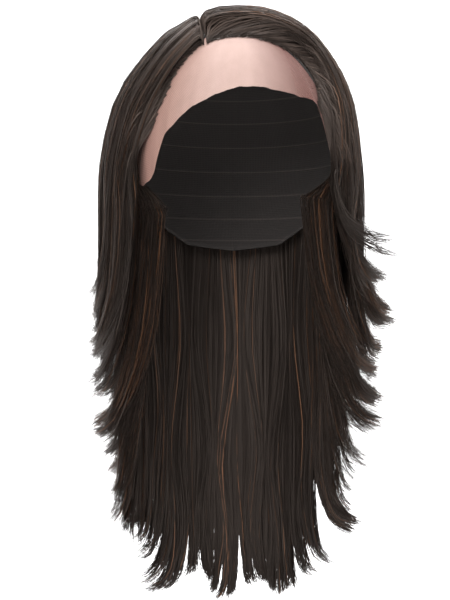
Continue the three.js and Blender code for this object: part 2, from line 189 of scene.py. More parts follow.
# Rest of the cap's rim by azimuth, the same on both sides
CAP_RIM = np.array([
    [78, 82],
    [82, 108],
    [92, 99],
    [105, 101],
    [125, 116],
    [145, 126],
    [180, 129],
], float)
SEAM_DEGREES = 0.4
CAP_SMOOTHING = 0.8
CROWN_HOLE = 0.012

# Millimetres of cloth to a degree round the head and down it
LACE_SCALE = (1.3, 1.6)
CAP_SCALE = (1.4, 1.6)

# Two kinds of rows.
# columns: those of their tables.
# draw, swell and drift, for each control of a strand's curve: how far it draws to its clump, how far its
# lock stands up, and how far it has moved to the row where it ends.
# samples: points of a strand.
# root_tone: the share of length that the roots have in the fibre map.
# fray: how uneven the ends are where the row has no free edge.
# under: the start and end of the under-layer.
TOP = dict(
    columns=["part", "land", "crest", "loft", "rest", "drop", "turn", "flare", "curl", "width"],
    draw=[0, 0, 0.02, 0.05, 0.1, 0.2, 0.36, 0.54, 0.68, 0.78, 0.85],
    swell=[0, 0, 0, 0.1, 0.35, 0.7, 1, 1, 0.9, 0.8, 0.7],
    drift=[0, 0, 0, 0, 0.05, 0.15, 0.45, 0.75, 0.9, 1, 1],
    samples=28,
    root_tone=0.0,
    fray=0.16,
    under=(0.07, 0.84),
)
WEFT = dict(
    columns=["land", "rest", "tuck", "drop", "turn", "flare", "curl", "sway", "width"],
    draw=[0, 0.05, 0.15, 0.3, 0.5, 0.68, 0.8, 0.88],
    swell=[0, 0.5, 0.9, 1, 1, 0.9, 0.8, 0.7],
    drift=[0, 0.1, 0.3, 0.6, 0.8, 0.9, 1, 1],
    samples=21,
    root_tone=0.45,
    fray=0.28,
    under=(0.0, 0.8),
)

# Locks tied along the part, and those of the wefts, nearly as in the solid model
RIGHT_LOCKS = [
    [0.0, 55, 5, 5, 7, 268, 38, 22, 130, 18],
    [0.17, 63, 10, 11, 14, 246, 29, 14, 100, 22],
    [0.34, 72, 12.5, 13, 18, 200, 16, 8, 50, 22],
    [0.51, 83, 12.5, 14, 20, 224, 10, 7, 54, 22],
    [0.68, 94, 12.5, 14, 20, 247, 4, 9, 56, 22],
    [0.84, 106, 12.5, 14, 19, 270, 0, 12, 58, 22],
    [1.0, 117, 12, 13, 18, 288, 0, 12, 60, 20],
    [1.25, 130, 12, 13, 17, 290, 0, 12, 60, 20],
]
LEFT_LOCKS = [
    [0.0, 54, 3, 4, 7, 180, 34, 32, 56, 18],
    [0.16, 63, 11, 16, 12, 197, 30, 20, 60, 22],
    [0.32, 73, 13.5, 19, 14, 226, 20, 25, 64, 22],
    [0.49, 83, 13.5, 19, 14, 243, 14, 18, 60, 22],
    [0.66, 94, 13.5, 18, 14, 261, 8, 21, 62, 22],
    [0.83, 106, 13, 17, 14, 284, 2, 20, 64, 22],
    [1.0, 118, 12, 15, 14, 298, 0, 18, 62, 20],
    [1.25, 134, 11, 14, 14, 298, 0, 18, 62, 20],
]
BACK_LOCKS = [
    [1, -114, 11, 10, 17, 292, 0, 14, 60, 20],
    [1, -131, 11, 10, 17, 300, 6, 14, 60, 24],
    [1, -147, 11, 11, 17, 326, -6, 14, 62, 24],
    [1, -163, 12, 12, 16, 308, 6, 14, 62, 24],
    [1, -179, 12, 13, 16, 336, -6, 14, 62, 24],
    [1, -195, 12, 14, 16, 312, 6, 14, 62, 24],
    [1, -211, 12, 15, 15, 330, -6, 14, 62, 24],
    [1, -225, 12, 15, 14, 302, 6, 14, 62, 24],
    [1, -242, 12, 15, 14, 298, 0, 16, 60, 20],
]
RIGHT_WEFTS = [
    [65, 5, 22, 288, 34, 26, 130, 0, 22],
    [75, 7, 20, 317, 22, 18, 120, 0, 24],
    [87, 8, 14, 352, 10, 8, 110, 3, 24],
    [99, 8, 8, 376, 2, 11, 90, -3, 22],
    [112, 7, 3, 390, -8, -6, 90, 3, 20],
    [130, 5, 0, 390, 0, 0, 90, 0, 20],
]
LEFT_WEFTS = [
    [66, 3, 22, 256, 32, 26, 110, 0, 22],
    [76, 3, 20, 284, 24, 30, 110, 0, 24],
    [87, 3, 14, 302, 14, 30, 110, 0, 24],
    [98, 3, 8, 338, 4, 20, 90, 3, 24],
    [110, 3, 3, 366, -4, 10, 80, -3, 22],
    [121, 3, 0, 384, -14, 20, 70, 3, 14],
    [136, 3, 0, 384, 0, 14, 80, 0, 18],
]
BACK_WEFTS = [
    [-112, 4, 0, 386, 0, 4, 60, 0, 20],
    [-129, 4, 0, 396, 6, 8, 60, 4, 20],
    [-144, 3, 0, 442, 14, 13, 60, -5, 24],
    [-160, 2, 0, 424, -6, 8, 56, 5, 24],
    [-176, 1, 0, 448, 6, 8, 56, -5, 24],
    [-192, 1, 0, 430, -6, 8, 56, 5, 24],
    [-208, 2, 0, 446, 4, 10, 56, -5, 24],
    [-224, 4, 0, 416, -10, 14, 60, 4, 20],
    [-244, 4, 0, 384, 0, 14, 60, 0, 20],
]

# Style of a row, where its call says nothing else.
# hairline: how many strands are tied along the first lock, to climb to the locks behind it.
# climb: how slowly they do so.
# bare: the first rows, where the under-layer starts lower.
# clear: the first rows, where only strands of the edge and the hairline start.
# edge: whether the first lock is a free edge.
# sway: sideways waves of the clumps.
# sweep: what the curl of its table is multiplied by.
# tight: how far strands draw together.
# crowd: above 1 where more strands are in the first rows.
# cool: how many tints the strands have that aren't auburn.
PLAIN_STYLE = dict(
    hairline=0,
    climb=1,
    bare=0,
    clear=0,
    edge=True,
    sway=3.5,
    sweep=1,
    tight=1,
    crowd=1,
    cool=FIRST_WARM,
)

# Camera and floor, in metres
CAMERA_AT = (-0.00675, -1.2, -0.203)
FLOOR_LEVEL = -0.474


def smoothstep(x, low, high):
    t = np.clip((np.asarray(x, float) - low) / (high - low), 0, 1)
    return t * t * (3 - 2 * t)


def unit(v):
    return v / np.maximum(np.linalg.norm(v, axis=-1, keepdims=True), 1e-9)


# Point on the head's ellipsoid grown by offset, from azimuth and polar angle in degrees
def head_point(azimuth, polar, offset):
    a, p, o = np.broadcast_arrays(np.radians(azimuth), np.radians(polar), offset)
    x = (BREADTH + o) * np.sin(p) * np.sin(a)
    y = -(LENGTH + o) * np.sin(p) * np.cos(a)
    z = (RISE + o) * np.cos(p) - RISE
    return np.stack([x, y, z], -1)


# Point above a plan position on the upper half of that ellipsoid
def above_plan(x, y, offset):
    x, y, offset = np.broadcast_arrays(x, y, offset)
    height = np.sqrt(1 - (x / (BREADTH + offset)) ** 2 - (y / (LENGTH + offset)) ** 2)
    return np.stack([x, y, (RISE + offset) * height - RISE], -1)


# Point half way between two others, pushed out to a height off the head
def half_way(p, q, offset):
    middle = (p + q) / 2 - [0, 0, WIDEST]
    return unit(middle / AXES) * (AXES + np.asarray(offset)[:, None]) + [0, 0, WIDEST]


# Point below the widest level, where hair hangs free
def hang_point(azimuth, out, z):
    point = head_point(azimuth, 90.0, out)
    point[..., 2] = z
    return point


# Direction away from the head, level below the widest level
def outward(points):
    level = np.maximum(points[..., 2:] - WIDEST, 0)
    return unit(np.concatenate([points[..., :2], level], -1) / AXES**2)


# Height off the head, which goes straight down below its widest level
def head_height(points):
    flat = np.concatenate([points[..., :2], np.maximum(points[..., 2:] - WIDEST, 0)], -1)
    reach = np.linalg.norm(flat / AXES, axis=-1, keepdims=True)
    return np.linalg.norm(flat, axis=-1, keepdims=True) * (1 - 1 / np.maximum(reach, 0.2))


# Points moved out where they are nearer the head than a gap
def clear_of_head(points, gap):
    over = smoothstep(points[..., 2:], WIDEST - BELOW_WIDEST, WIDEST)
    return points + outward(points) * np.maximum(gap - head_height(points), 0) * over


# Strands laid down on the lace at their roots
def rooted(points):
    t = length_steps(points.shape[1])[None, :, None]
    return points + outward(points) * (ROOT_HEIGHT - head_height(points)) * (1 - smoothstep(t, *ROOT_FADE))


# Values of a table's columns at row numbers, straight between rows
def columns(names, rows, at):
    rows = np.array(rows, float)
    return {name: np.interp(at, np.arange(len(rows)), rows[:, i]) for i, name in enumerate(names)}


def mixed(own, lock, share):
    return {name: own[name] + (lock[name] - own[name]) * share for name in own}


# Points of a lock's end, turning from straight down to straight out and a little up
def curl_points(values, lifts, side):
    points = []
    for v, lift, angle in zip(values, lifts, CURL_ANGLES):
        swing = 1 - math.cos(angle)
        out = v["rest"] + v["flare"] * swing - v.get("tuck", 0) * max(0, 1 - swing)
        height = -v["drop"] + v["curl"] * (1 - math.sin(angle))
        points.append(hang_point(side * (v["land"] + v["turn"] * swing), out + lift, height))
    return points


# Controls of hair that goes over the head from the part, with its roots, crests and shoulders in plan
def over_head(v, lift, root, crest, shoulder, side):
    top = above_plan(root[0], root[1], ON_CAP + lift[0])
    high = above_plan(crest[0], crest[1], v[1]["crest"] + lift[1])
    turn = above_plan(shoulder[0], shoulder[1], v[3]["loft"] + lift[3])
    land = head_point(side * v[5]["land"], 90.0, v[5]["rest"] + lift[5])
    middle = (WIDEST - v[6]["drop"] + v[6]["curl"]) / 2
    points = [
        top,
        high,
        half_way(high, turn, (v[2]["crest"] + v[2]["loft"]) / 2 + lift[2]),
        turn,
        half_way(turn, land, (v[4]["loft"] + v[4]["rest"]) / 2 + lift[4]),
        land,
        hang_point(side * v[6]["land"], v[6]["rest"] + lift[6], middle),
        *curl_points(v[7:], lift[7:], side),
    ]
    return np.stack(points, 1)


# Controls of hair tied along the part, over one side of the head
def top_controls(v, lift, form):
    root = PART_FRONT + (PART_CROWN - PART_FRONT) * v[0]["part"][:, None]
    landing = head_point(v[3]["land"], 90.0, v[3]["rest"])[:, 1]
    shoulder_y = landing * form["scale"] + form["shift"]
    side = form["side"]
    roots = (root[:, 0] + side * PART_GAP, root[:, 1])
    crests = (root[:, 0] + side * form["crest_out"], root[:, 1])
    return over_head(v, lift, roots, crests, (form["shoulder_x"], shoulder_y), side)


# Controls of hair tied round the crown end of the part, down the back of the head
def back_controls(v, lift, form):
    def towards(values, share):
        landing = head_point(values["land"], 90.0, values["rest"])[:, :2]
        root = PART_CROWN + unit(landing - PART_CROWN) * CROWN_SPREAD
        return (root + (landing - root) * share).T

    roots, crests, shoulders = towards(v[0], 0), towards(v[1], BACK_CREST), towards(v[3], BACK_SHOULDER)
    return over_head(v, lift, roots, crests, shoulders, form["side"])


# Controls of hair that hangs from a weft's row of stitches
def weft_controls(v, lift, form):
    side = form["side"]

    def hang(i, share, sway):
        rest = WEFT_REST + (v[i]["rest"] - WEFT_REST) * smoothstep(share, 0.2, 1)
        rest = rest - v[i]["tuck"] * smoothstep(share, 0.1, 0.8)
        low = v[i]["curl"] - v[i]["drop"]
        height = WIDEST + (low - WIDEST) * share
        return hang_point(side * v[i]["land"] + sway * v[i]["sway"], rest + lift[i], height)

    points = [
        head_point(side * v[0]["land"], WEFT_ROW, WEFT_REST + lift[0]),
        hang(1, 0.2, 0),
        hang(2, 0.5, 1),
        hang(3, 0.8, -1),
        *curl_points(v[4:], lift[4:], side),
    ]
    return np.stack(points, 1)


# Shares of length that are closer together towards the roots
def length_steps(count):
    return np.linspace(0, 1, count) ** STEP_POWER


# Points along centripetal Catmull-Rom curves, each between its own start and end as shares of its controls
def curve_points(controls, starts, ends, count):
    n, k, _ = controls.shape
    before = 2 * controls[:, :1] - controls[:, 1:2]
    after = 2 * controls[:, -1:] - controls[:, -2:-1]
    p = np.concatenate([before, controls, after], 1)
    t = (starts[:, None] + length_steps(count)[None] * (ends - starts)[:, None]) * (k - 1)
    i = np.minimum(t.astype(int), k - 2)
    x = (t - i)[..., None]
    row = np.arange(n)[:, None]
    p0, p1, p2, p3 = (p[row, i + j] for j in range(4))
    d0, d1, d2 = (
        np.maximum(np.linalg.norm(b - a, axis=-1, keepdims=True) ** 0.5, 1e-3)
        for a, b in ((p0, p1), (p1, p2), (p2, p3))
    )
    t1 = ((p1 - p0) / d0 - (p2 - p0) / (d0 + d1) + (p2 - p1) / d1) * d1
    t2 = ((p2 - p1) / d1 - (p3 - p1) / (d1 + d2) + (p3 - p2) / d2) * d1
    return p1 + x * (t1 + x * (3 * (p2 - p1) - 2 * t1 - t2 + x * (2 * (p1 - p2) + t1 + t2)))


# Directions across and out from each point of some curves
def frames(points):
    along = unit(np.gradient(points, axis=1))
    across = unit(np.cross(along, outward(points)))
    return across, np.cross(across, along)


# Slow waves that take strands off their lock's line, and quick ones at their ends
def wander(points, amplitude, rng):
    n, m, _ = points.shape
    t = length_steps(m)[None]
    across, out = frames(points)
    waves = []
    for _ in range(2):
        turns, phase = rng.uniform(*SLOW_TURNS, (n, 1)), rng.uniform(0, 2 * np.pi, (n, 1))
        waves.append(np.sin(2 * np.pi * turns * t + phase) * smoothstep(t, *SLOW_FADE) * amplitude[:, None])
    turns, phase = rng.uniform(*QUICK_TURNS, (n, 1)), rng.uniform(0, 2 * np.pi, (n, 1))
    frizz = np.sin(2 * np.pi * turns * t + phase) * smoothstep(t, *QUICK_FADE) * amplitude[:, None]
    return points + across * (waves[0] + frizz)[..., None] + out * (OUT_SHARE * waves[1])[..., None]


# Ribbons along some curves as vertices, quads and two maps of their corners. The fibre map holds the tint
# and the share of length, from the tone of the roots to 1. The other one also spreads out a ribbon's width.
def ribbons(points, width, tilt, tint, root_tone):
    n, m, _ = points.shape
    across, out = frames(points)
    reach = across * np.cos(tilt)[..., None] + out * np.sin(tilt)[..., None]
    half = reach * width[..., None] / 2
    vertices = np.stack([points - half, points + half], 2).reshape(-1, 3)
    start = (np.arange(n)[:, None] * m + np.arange(m - 1)[None]).reshape(-1) * 2
    quads = start[:, None] + np.array([0, 1, 3, 2])
    steps = root_tone + (1 - root_tone) * length_steps(m)
    low, high = np.tile(steps[:-1], n), np.tile(steps[1:], n)
    shade = np.repeat((tint + 0.5) / TINTS, m - 1)
    length = np.stack([low, low, high, high], 1)
    fibre = np.stack([np.broadcast_to(shade[:, None], length.shape), length], -1)
    spread = np.array([-0.35, 0.35, 0.35, -0.35]) / TINTS
    bake = np.stack([shade[:, None] + spread, length * 0.98 + 0.01], -1)
    return vertices, quads, fibre, bake


def joined(parts):
    shift = np.cumsum([0, *(len(p[0]) for p in parts[:-1])])
    vertices = np.concatenate([p[0] for p in parts])
    quads = np.concatenate([p[1] + s for p, s in zip(parts, shift)])
    return vertices, quads, np.concatenate([p[2] for p in parts]), np.concatenate([p[3] for p in parts])


# Object of a mesh of quads, with its maps and material
def quad_object(name, vertices, quads, maps, material):
    mesh = bpy.data.meshes.new(name)
    mesh.vertices.add(len(vertices))
    mesh.vertices.foreach_set("co", (vertices * MM).astype(np.float32).ravel())
    mesh.loops.add(quads.size)
    mesh.loops.foreach_set("vertex_index", quads.astype(np.int32).ravel())
    mesh.polygons.add(len(quads))
    mesh.polygons.foreach_set("loop_start", np.arange(0, quads.size, 4, dtype=np.int32))
    mesh.polygons.foreach_set("use_smooth", np.ones(len(quads), bool))
    for label, values in maps.items():
        layer = mesh.uv_layers.new(name=label)
        layer.uv.foreach_set("vector", values.astype(np.float32).ravel())
    mesh.update(calc_edges=True)
    mesh.validate()
    mesh.materials.append(material)
    piece = bpy.data.objects.new(name, mesh)
    bpy.context.scene.collection.objects.link(piece)
    return piece


# Row of locks as ribbons of hair. Besides the plain ones, its style has four values.
# span: the row numbers that it covers.
# drift: how many rows further on its strands end.
# warm: row numbers with their shares of auburn strands.
# inner: the share of strands on the inside of the sheet.
class HairRow:
    def __init__(self, kind, rows, controls, form, count, seed, **style):
        self.kind = kind
        self.rows = rows
        self.controls = controls
        self.form = form
        self.count = count
        self.style = {**PLAIN_STYLE, **style}
        self.few = count // EDGE_PART if self.style["edge"] else 0
        self.filler = slice(self.few, self.few + self.style["hairline"] // FILLER_PART)
        self.steps = length_steps(kind["samples"])[None]
        self.rng = np.random.default_rng(seed)
        self.make_clumps()

    def values(self, at):
        return columns(self.kind["columns"], self.rows, at)

    # Clumps that strands end in, each a little unlike its lock and with its own share of auburn
    def make_clumps(self):
        rng, style = self.rng, self.style
        first, last = style["span"]
        locks = np.arange(math.ceil(first), math.floor(last) + 1)
        centres = np.clip(np.add.outer(locks, CLUMPS_A_LOCK).ravel(), first, last)
        count = len(centres)
        self.centres = centres + rng.normal(0, CENTRE_SPREAD, count)
        self.lock = self.values(self.centres)
        for name, spread in CLUMP_SPREAD.items():
            self.lock[name] = self.lock[name] + rng.normal(*spread, count)
        if style["edge"]:
            self.lock["drop"][:len(EDGE_RISE)] -= EDGE_RISE
        self.lock["curl"] = self.lock["curl"] * rng.uniform(*CURL_SPREAD, count) * style["sweep"]
        self.phase = rng.uniform(0, 2 * np.pi, count)
        glow = [share * np.exp(-((self.centres - row) / WARM_REACH) ** 2) for row, share in style["warm"]]
        self.glow = np.max([*glow, np.full(count, SOME_WARM)], 0)

    # Curves of strands from their own rows to the clumps they end in, and the numbers of those clumps.
    # depth: place in the sheet, below 0 on its inside.
    # loose: how far a strand leaves its clump.
    def curves(self, own_at, end_at, depth, loose, starts, ends):
        rng, kind, style = self.rng, self.kind, self.style
        count = len(own_at)
        tucked = rng.uniform(*TUCK_SPREAD, count)
        clump = np.abs(end_at[:, None] - self.centres[None]).argmin(1)
        mine = {name: value[clump] for name, value in self.lock.items()}
        for name, spread in STRAND_SPREAD.items():
            mine[name] = mine[name] + rng.normal(0, spread, count) * loose
        own = [self.values(own_at + (end_at - own_at) * share) for share in kind["drift"]]
        values = [mixed(there, mine, share * style["tight"]) for there, share in zip(own, kind["draw"])]
        if "tuck" in mine:
            for v in values:
                v["tuck"] = v["tuck"] * tucked
        off_ridge = np.abs(end_at - np.round(end_at)) * 2
        ridge = own[0]["width"] * RIDGE * (1 - off_ridge**1.5)
        faces = [np.where(depth > 0, SHEET_OUTER + ridge * swell, SHEET_INNER) for swell in kind["swell"]]
        lift = [face * np.abs(depth) * (1 if i else ROOT_LIFT) for i, face in enumerate(faces)]
        points = curve_points(self.controls(values, lift, self.form), starts, ends, kind["samples"])
        wave = np.sin(2 * np.pi * WAVES * self.steps + self.phase[clump][:, None])
        wave = wave * smoothstep(self.steps, *WAVE_FADE) * style["sway"] * np.abs(depth)[:, None]
        points = points + frames(points)[0] * wave[..., None]
        return clear_of_head(wander(points, loose * WANDER, rng), CLEAR_OF_CAP), clump

    # Wide ribbons on the inside of the sheet
    def under_layer(self):
        first, last = self.style["span"]
        bare = self.style["bare"]
        start, end = self.kind["under"]
        at = np.linspace(first + BARE_SHARE * bare, last, int((last - first) * UNDER_A_ROW))
        still = np.zeros(len(at))
        starts = np.where(at < first + bare, BARE_START, start)
        points, _ = self.curves(at, at, still + UNDER_DEPTH, still + UNDER_LOOSE, starts, still + end)
        width = UNDER_WIDTH * (1 - UNDER_TAPER * smoothstep(self.steps, *TIP_FADE))
        width = width * smoothstep(self.steps, *UNDER_FADE) * np.ones((len(at), 1))
        # The under-layer takes only the darkest tints, painted shade deep in the sheet
        tint = self.rng.integers(0, UNDER_SHADE_TINTS, len(at))
        return ribbons(points, width, still[:, None], tint, self.kind["root_tone"])

    # Rows that the strands start from and end in, and where along their curves they start. The first strands
    # follow the free edge, and those up to the hairline's number are tied along the first lock.
    def places(self):
        rng, style, count, few = self.rng, self.style, self.count, self.few
        first, last = style["span"]
        clear, hairline = style["clear"], style["hairline"]
        at = first + clear + (last - first - clear) * rng.random(count) ** style["crowd"]
        stays = rng.random(count) < STAY_SHARE
        moves = np.where(stays, rng.normal(0, STAY_SPREAD, count), rng.uniform(*style["drift"], count))
        end_at = np.clip(at + moves, first, last)
        at[:few] = first
        end_at[:few] = self.centres[np.arange(few) % len(EDGE_RISE)]
        starts = np.zeros(count)
        starts[:hairline] = rng.uniform(*HAIRLINE_SPAN, hairline)
        tied = np.arange(few, max(few, hairline))
        at[tied] = rng.uniform(*LANE_SHARE, len(tied)) * (LANE_MOST - LANE_LOSS * starts[tied])
        end_at[tied] = at[tied] * rng.uniform(*LANE_END, len(tied))
        on_edge = slice(0, min(few, hairline))
        starts[on_edge] += (HAIRLINE_SPAN[1] - starts[on_edge]) * EDGE_LOWER
        return at, end_at, starts

    # Points of the plain sheet of hair at row numbers and shares of length
    def sheet_points(self, at, share):
        last_line = CLIMB_ROWS * CLIMB_LINES
        lines = np.linspace(0, CLIMB_ROWS, last_line + 1)
        still = np.zeros(len(lines))
        controls = len(self.kind["draw"])
        guides = self.controls([self.values(lines)] * controls, [still] * controls, self.form)
        sheet = curve_points(guides, still, still + 1, CLIMB_STEPS + 1)
        r = np.clip(at * CLIMB_LINES, 0, last_line - 0.01)
        c = np.clip(share ** (1 / STEP_POWER) * CLIMB_STEPS, 0, CLIMB_STEPS - 0.01)
        i, j = r.astype(int), c.astype(int)
        u, v = (r - i)[..., None], (c - j)[..., None]
        near = sheet[i, j] * (1 - v) + sheet[i, j + 1] * v
        far = sheet[i + 1, j] * (1 - v) + sheet[i + 1, j + 1] * v
        return near * (1 - u) + far * u

    # Hairline strands moved to start on the first lock's line and climb from it to their own rows, with
    # their roots laid on the lace
    def tie_hairline(self, points, at, starts, ends):
        hairline = self.style["hairline"]
        tied = slice(0, hairline)
        start = starts[tied, None]
        share = start + self.steps * (ends - starts)[tied, None]
        climbs = self.style["climb"] * (CLIMB_BASE + start)
        rise = np.sin(np.pi / 2 * np.clip((share - start) / climbs, 0, 1))
        lane = np.broadcast_to(at[tied, None], share.shape)
        strands = points[tied] + self.sheet_points(lane * rise, share) - self.sheet_points(lane, share)
        reach = self.rng.uniform(0, ROOT_SPREAD, hairline)
        reach = reach + TEMPLE_REACH * smoothstep(starts[tied], *TEMPLE)
        strands[:, 0] -= unit(strands[:, 1] - strands[:, 0]) * reach[:, None]
        points[tied] = rooted(strands)

    # Widths, tilts and tints of the strands
    def looks(self, clump, loose):
        rng, count, few, filler = self.rng, self.count, self.few, self.filler
        width = rng.uniform(*STRAND_WIDTH, count) * np.where(loose == LOOSE, LOOSE_WIDTH, 1)
        width = width[:, None] * (1 - STRAND_TAPER * smoothstep(self.steps, *TIP_FADE))
        width[filler] *= FILLER_WIDTH
        auburn = rng.random(count) < self.glow[clump]
        warm = rng.integers(FIRST_WARM, TINTS, count)
        tint = np.where(auburn, warm, rng.integers(0, self.style["cool"], count))
        tint[filler] = rng.integers(*FILLER_TINTS, len(tint[filler]))
        if self.kind is TOP:
            tint[:few] = rng.integers(0, EDGE_TINTS, few)
        tilt = rng.normal(0, STRAND_TILT, (count, 1)) * np.ones_like(self.steps)
        lean = self.form["side"] * HAIRLINE_LEAN * (1 - smoothstep(self.steps, *LEAN_FADE))
        tilt[:self.style["hairline"]] -= lean
        return width, tilt, tint

    # Single strands of the row
    def strands(self):
        rng, style, count = self.rng, self.style, self.count
        hairline = style["hairline"]
        at, end_at, starts = self.places()
        depth = np.where(rng.random(count) < style["inner"], -1, 1) * rng.random(count) ** 0.5
        depth[:hairline] = rng.uniform(*HAIRLINE_DEPTH, hairline)
        depth[self.filler] = FILLER_DEPTH
        loose = np.where(rng.random(count) < LOOSE_SHARE, LOOSE, rng.uniform(*HELD, count))
        fray = EDGE_FRAY if style["edge"] else self.kind["fray"]
        ends = 1 - fray * rng.beta(*FRAY_SHAPE, count)
        points, clump = self.curves(at, end_at, depth, loose, starts, ends)
        if hairline:
            self.tie_hairline(points, at, starts, ends)
        return ribbons(points, *self.looks(clump, loose), self.kind["root_tone"])


# Piece of hair in the place of a solid
def hair_piece(name, row, material):
    vertices, quads, fibre, bake = joined([row.under_layer(), row.strands()])
    piece = quad_object(f"{name}_strands", vertices, quads, {"fibre": fibre, "OFBake": bake}, material)
    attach(piece, "root")
    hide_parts(name)


def node_material(name):
    material = bpy.data.materials.new(name)
    material.use_nodes = True
    tree = material.node_tree
    return material, tree, tree.nodes["Principled BSDF"]


# Node with its settings, and its first inputs from sockets or plain values
def add_node(tree, kind, *inputs, **settings):
    node = tree.nodes.new(kind)
    for key, value in settings.items():
        setattr(node, key, value)
    for socket, value in zip(node.inputs, inputs):
        if isinstance(value, bpy.types.NodeSocket):
            tree.links.new(value, socket)
        else:
            socket.default_value = value
    return node


def set_inputs(node, values):
    for name, value in values.items():
        node.inputs[name].default_value = value


# Sockets of a map and of its two coordinates
def map_sockets(tree, name):
    place = add_node(tree, "ShaderNodeUVMap", uv_map=name).outputs[0]
    split = add_node(tree, "ShaderNodeSeparateXYZ", place)
    return place, split.outputs[0], split.outputs[1]


def calculated(tree, operation, *values):
    return add_node(tree, "ShaderNodeMath", *values, operation=operation).outputs[0]


def map_range(tree, value, low, high, to_low=0.0, to_high=1.0):
    return add_node(tree, "ShaderNodeMapRange", value, low, high, to_low, to_high).outputs[0]


def noise(tree, place, scale, detail):
    node = add_node(tree, "ShaderNodeTexNoise", place)
    set_inputs(node, {"Scale": scale, "Detail": detail})
    return node.outputs[0]


def ramp(tree, value, stops):
    node = add_node(tree, "ShaderNodeValToRGB", value)
    elements = node.color_ramp.elements
    while len(elements) < len(stops):
        elements.new(0.5)
    for element, (position, colour) in zip(elements, stops):
        element.position = position
        element.color = (*colour, 1)
    return node.outputs[0]


def float_curve(tree, value, places):
    node = add_node(tree, "ShaderNodeFloatCurve")
    points = node.mapping.curves[0].points
    for place in places[1:-1]:
        points.new(*place)
    points[0].location, points[-1].location = places[0], places[-1]
    tree.links.new(value, node.inputs["Value"])
    return node.outputs[0]


def bump(tree, shader, height, strength, distance):
    node = add_node(tree, "ShaderNodeBump")
    set_inputs(node, {"Strength": strength, "Distance": distance})
    tree.links.new(height, node.inputs["Height"])
    tree.links.new(node.outputs[0], shader.inputs["Normal"])


# Dark brown hair with auburn strands. The tint picks a strand's colour, and the share of its length gives
# painted shade at the roots and painted sheen on the crown, and lets the auburn show only below the crown.
def hair_material():
    material, tree, shader = node_material("hair_fibre")
    place, tint, share = map_sockets(tree, "fibre")
    warm = FIRST_WARM / TINTS
    cool = calculated(tree, "MINIMUM", tint, warm - 0.02)
    extra = calculated(tree, "SUBTRACT", tint, cool)
    below_crown = map_range(tree, share, 0.12, 0.42)
    colour = ramp(tree, calculated(tree, "MULTIPLY_ADD", extra, below_crown, cool), [
        (0.0, (0.007, 0.0052, 0.0044)),
        (warm * 0.6, (0.0125, 0.0092, 0.0078)),
        (warm - 0.01, (0.024, 0.017, 0.0138)),
        (warm, (0.04, 0.021, 0.013)),
        (1.0, (0.105, 0.048, 0.024)),
    ])
    stretch = add_node(tree, "ShaderNodeMapping", place)
    set_inputs(stretch, {"Scale": (TINTS * 3.7, 9, 1)})
    level = map_range(tree, noise(tree, stretch.outputs[0], 1.0, 2.0), 0.3, 0.7, 1.9, 4.2)
    tip = map_range(tree, share, 0.35, 1.0, 1.0, 1.05)
    # Painted shade at the roots and painted sheen on the crown, by the share of length
    length = calculated(tree, "MULTIPLY", tip, float_curve(tree, share, PAINTED_SHEEN_AND_ROOT_SHADE))
    scaled = add_node(tree, "ShaderNodeVectorMath", colour, operation="SCALE")
    tree.links.new(calculated(tree, "MULTIPLY", level, length), scaled.inputs["Scale"])
    tree.links.new(scaled.outputs[0], shader.inputs["Base Color"])
    set_inputs(shader, {
        "Roughness": 0.58,
        "Specular IOR Level": 0.3,
        "Specular Tint": (1, 0.82, 0.72, 1),
        "Sheen Weight": 0.08,
        "Sheen Roughness": 0.4,
        "Sheen Tint": (0.8, 0.6, 0.5, 1),
    })
    return material


# Sheer lace: two sets of slanting threads, denser than the gaps between them. Its colour has painted shade
# that darkens it towards the sides, most of all on the wearer's left under the overhanging hair, so it is
# lightest in the middle.
def lace_material():
    material, tree, shader = node_material("lace_net")
    place, side, down = map_sockets(tree, "cloth")
    slant, pitch = 0.6, 0.45
    threads = [
        calculated(tree, "PINGPONG", calculated(tree, "MULTIPLY_ADD", down, lean, side), pitch)
        for lean in (slant, -slant)
    ]
    thread = map_range(tree, calculated(tree, "MINIMUM", *threads), 0.1, 0.2, 1.0, 0.0)
    cloth = ramp(tree, noise(tree, place, 0.09, 3.0), [
        (0.3, (0.375, 0.265, 0.232)),
        (0.7, (0.405, 0.287, 0.254)),
    ])
    # Painted shade: the lace is darker towards both sides and darkest on the wearer's left, and lightest in
    # the middle
    painted_side_shade = ramp(tree, map_range(tree, side, -100.0, 100.0), [
        (0.0, (0.95, 0.7, 0.65)),
        (0.24, (0.73, 0.63, 0.59)),
        (0.42, (1, 1, 1)),
        (0.56, (1, 1, 1)),
        (0.8, (0.33, 0.21, 0.2)),
    ])
    painted_shade_cloth = add_node(tree, "ShaderNodeVectorMath", cloth, painted_side_shade, operation="MULTIPLY")
    tree.links.new(painted_shade_cloth.outputs[0], shader.inputs["Base Color"])
    tree.links.new(map_range(tree, thread, 0.0, 1.0, 0.7, 0.98), shader.inputs["Alpha"])
    bump(tree, shader, thread, 0.25, 0.0002)
    set_inputs(shader, {
        "Roughness": 0.75,
        "Specular IOR Level": 0.3,
        "Specular Tint": (1, 0.75, 0.7, 1),
        "Sheen Weight": 0.08,
        "Sheen Tint": (1, 0.7, 0.65, 1),
    })
    return material


# Stretch net of the cap, with the rows of stitches that hold the wefts
def cap_material():
    material, tree, shader = node_material("cap_net")
    _, side, down = map_sockets(tree, "cloth")
    mesh_pitch, row_pitch = 0.7, 9.0
    waves = [
        map_range(tree, calculated(tree, "PINGPONG", axis, pitch), 0.0, min(pitch * 0.6, 0.9), 1.0, 0.0)
        for axis, pitch in ((side, mesh_pitch), (down, mesh_pitch), (down, row_pitch))
    ]
    net = calculated(tree, "MAXIMUM", waves[0], waves[1])
    both = calculated(tree, "MULTIPLY_ADD", waves[2], 1.5, net)
    colour = ramp(tree, calculated(tree, "MULTIPLY", both, 0.4), [
        (0.0, (0.01, 0.008, 0.007)),
        (0.5, (0.026, 0.02, 0.018)),
        (1.0, (0.055, 0.044, 0.039)),
    ])
    tree.links.new(colour, shader.inputs["Base Color"])
    bump(tree, shader, both, 0.5, 0.0006)
    set_inputs(shader, {"Roughness": 0.85})
    return material


